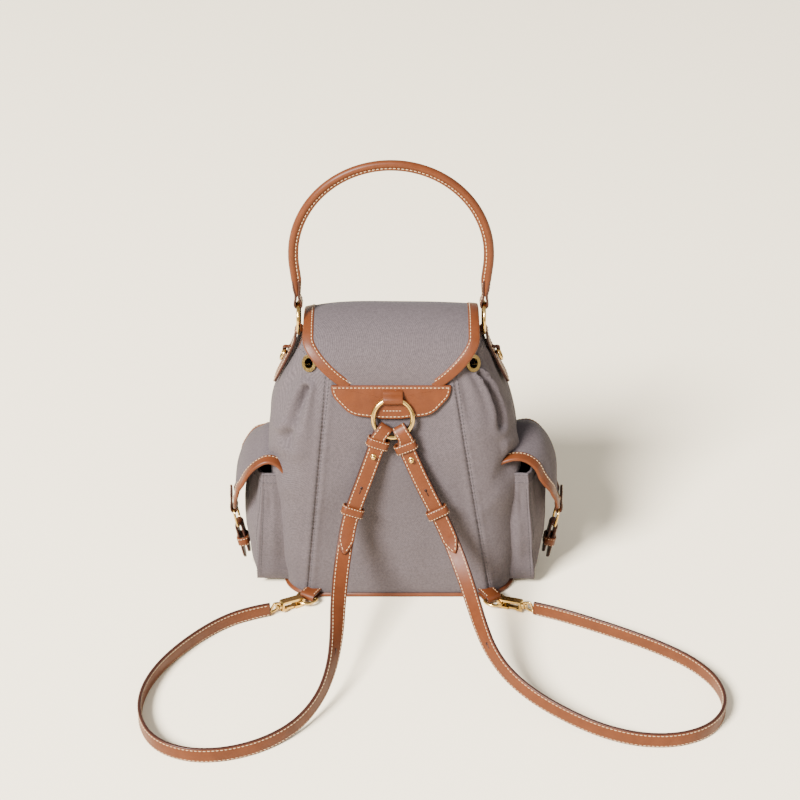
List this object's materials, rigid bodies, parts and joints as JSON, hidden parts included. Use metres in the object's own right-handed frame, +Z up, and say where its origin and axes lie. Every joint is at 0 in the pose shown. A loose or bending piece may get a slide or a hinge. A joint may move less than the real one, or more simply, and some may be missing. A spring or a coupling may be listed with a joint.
{
  "type": "travel backpack",
  "caption": "Small travel backpack in taupe twill with brown stitched leather trim, arched carry handle, top flap, side pockets and adjustable shoulder straps.",
  "frame": {"origin": "on the floor under the bag, below the middle of the carry handle", "axes": "+Z up, +Y towards the front of the bag (its flap closure), -Y towards the wearer's back and the shoulder straps, +X along the handle to the right as seen from the straps"},
  "size_m": [0.5189, 0.3796, 0.4268],
  "materials": {
    "canvas": "matt twill",
    "lining_cloth": "plain weave",
    "stiff_board": "cloth over board",
    "leather": "smooth, satin, edges painted dark",
    "keeper_leather": "smooth, satin",
    "brass": "polished"
  },
  "bodies": {
    "bag": {"back_panel": "canvas", "back_patch": "leather", "base_board": "stiff_board", "base_panel": "leather", "eyelet_back_left": "brass", "eyelet_back_right": "brass", "eyelet_front_left": "brass", "eyelet_front_right": "brass", "front_panel": "canvas", "left_base_tab": "leather", "left_gusset": "canvas", "left_hook_eye": "brass", "left_keeper_1": "keeper_leather", "left_keeper_2": "keeper_leather", "left_pocket": "canvas", "left_shoulder_strap": "leather", "left_side_tab": "leather", "left_strap_tongue": "leather", "left_stud": "brass", "left_tab_loop": "leather", "lining": "lining_cloth", "patch_loop": "leather", "right_base_tab": "leather", "right_gusset": "canvas", "right_hook_eye": "brass", "right_keeper_1": "keeper_leather", "right_keeper_2": "keeper_leather", "right_pocket": "canvas", "right_shoulder_strap": "leather", "right_side_tab": "leather", "right_strap_tongue": "leather", "right_stud": "brass", "right_tab_loop": "leather"},
    "flap": {"top_flap": "canvas", "flap_binding": "leather", "flap_buckle": "brass", "flap_strap": "leather", "flap_keeper": "keeper_leather"},
    "handle": {"handle": "leather"},
    "back_ring": {"back_ring": "brass"},
    "left_handle_ring": {"left_handle_ring": "brass"},
    "left_tab_ring": {"left_tab_ring": "brass"},
    "left_pocket_flap": {"left_pocket_flap": "canvas", "left_pocket_binding": "leather", "left_pocket_buckle": "brass", "left_pocket_strap": "leather", "left_pocket_keeper": "keeper_leather"},
    "left_dee_ring": {"left_dee_ring": "brass"},
    "left_hook": {"left_hook": "brass"},
    "left_hook_gate": {"left_hook_gate": "brass"},
    "right_handle_ring": {"right_handle_ring": "brass"},
    "right_tab_ring": {"right_tab_ring": "brass"},
    "right_pocket_flap": {"right_pocket_flap": "canvas", "right_pocket_binding": "leather", "right_pocket_buckle": "brass", "right_pocket_strap": "leather", "right_pocket_keeper": "keeper_leather"},
    "right_dee_ring": {"right_dee_ring": "brass"},
    "right_hook": {"right_hook": "brass"},
    "right_hook_gate": {"right_hook_gate": "brass"}
  },
  "joints": [
    {"name": "flap_hinge", "type": "hinge", "parent": "bag", "child": "flap", "pos_m": [0, -0.0538, 0.2297], "axis": [1, 0, 0], "range_deg": [0, 110]},
    {"name": "handle_swing", "type": "hinge", "parent": "bag", "child": "handle", "pos_m": [0, 0, 0.272], "axis": [-1, 0, 0], "range_deg": [-75, 75]},
    {"name": "back_ring_turn", "type": "hinge", "parent": "bag", "child": "back_ring", "pos_m": [0.0016, -0.06364, 0.20259], "axis": [0, -0.9613, 0.2756], "continuous": true},
    {"name": "left_handle_ring_turn", "type": "hinge", "parent": "bag", "child": "left_handle_ring", "pos_m": [-0.0845, 0, 0.272], "axis": [1, 0, 0], "continuous": true},
    {"name": "left_tab_ring_swing", "type": "hinge", "parent": "bag", "child": "left_tab_ring", "pos_m": [-0.09781, 0, 0.2397], "axis": [0, 1, 0], "range_deg": [0, 60]},
    {"name": "left_pocket_flap_hinge", "type": "hinge", "parent": "bag", "child": "left_pocket_flap", "pos_m": [-0.1164, 0, 0.1534], "axis": [0, 1, 0], "range_deg": [0, 105]},
    {"name": "right_handle_ring_turn", "type": "hinge", "parent": "bag", "child": "right_handle_ring", "pos_m": [0.0845, 0, 0.272], "axis": [1, 0, 0], "continuous": true},
    {"name": "right_tab_ring_swing", "type": "hinge", "parent": "bag", "child": "right_tab_ring", "pos_m": [0.09781, 0, 0.2397], "axis": [0, -1, 0], "range_deg": [0, 60]},
    {"name": "right_pocket_flap_hinge", "type": "hinge", "parent": "bag", "child": "right_pocket_flap", "pos_m": [0.1201, 0, 0.1534], "axis": [0, -1, 0], "range_deg": [0, 105]},
    {"name": "left_dee_hinge", "type": "hinge", "parent": "bag", "child": "left_dee_ring", "pos_m": [-0.0795, -0.0675, 0.00565], "axis": [0.866, -0.5, 0], "range_deg": [-3, 3]},
    {"name": "left_hook_swivel", "type": "hinge", "parent": "bag", "child": "left_hook", "pos_m": [-0.11317, -0.09161, 0.0092], "axis": [0.8252, 0.5518, -0.1207], "range_deg": [-6, 6]},
    {"name": "left_gate_hinge", "type": "hinge", "parent": "left_hook", "child": "left_hook_gate", "pos_m": [-0.10233, -0.08436, 0.00379], "axis": [0.5559, -0.8313, 0], "range_deg": [0, 18], "stiffness_Nm_per_rad": 0.02},
    {"name": "right_dee_hinge", "type": "hinge", "parent": "bag", "child": "right_dee_ring", "pos_m": [0.0965, -0.0705, 0.00565], "axis": [0.866, 0.5, 0], "range_deg": [-3, 3]},
    {"name": "right_hook_swivel", "type": "hinge", "parent": "bag", "child": "right_hook", "pos_m": [0.13292, -0.08978, 0.0092], "axis": [-0.8957, 0.4279, -0.1207], "range_deg": [-6, 6]},
    {"name": "right_gate_hinge", "type": "hinge", "parent": "right_hook", "child": "right_hook_gate", "pos_m": [0.12115, -0.08416, 0.00379], "axis": [0.4311, 0.9023, 0], "range_deg": [0, 18], "stiffness_Nm_per_rad": 0.02}
  ]
}
